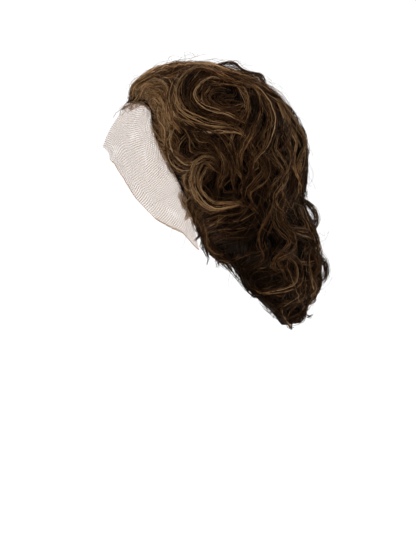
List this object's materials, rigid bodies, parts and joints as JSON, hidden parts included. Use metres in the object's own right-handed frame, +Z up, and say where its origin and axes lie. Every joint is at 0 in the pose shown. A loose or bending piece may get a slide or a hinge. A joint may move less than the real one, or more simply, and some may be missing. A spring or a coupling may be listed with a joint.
{
  "type": "lace front wig",
  "caption": "Lace front wig with a net cap, a sheer untrimmed lace panel over the forehead and cheeks, and wavy dark brown hair that falls in curls to the nape.",
  "frame": {"origin": "top of the inside of the cap, where it rests on the crown of the head", "axes": "+Z up, the face looks along -Y, +X is the wearer's left"},
  "size_m": [0.2026, 0.2388, 0.2881],
  "materials": {
    "cap_net": "fine stretch net",
    "lace": "sheer hexagonal net",
    "hair": "wavy hair, soft sheen"
  },
  "bodies": {
    "root": {"cap": "cap_net", "lace_front": "lace", "hair_crown": "hair", "hair_front": "hair", "hair_left": "hair", "hair_right": "hair", "hair_back": "hair", "hair_nape_left": "hair", "hair_nape_right": "hair"}
  },
  "joints": []
}
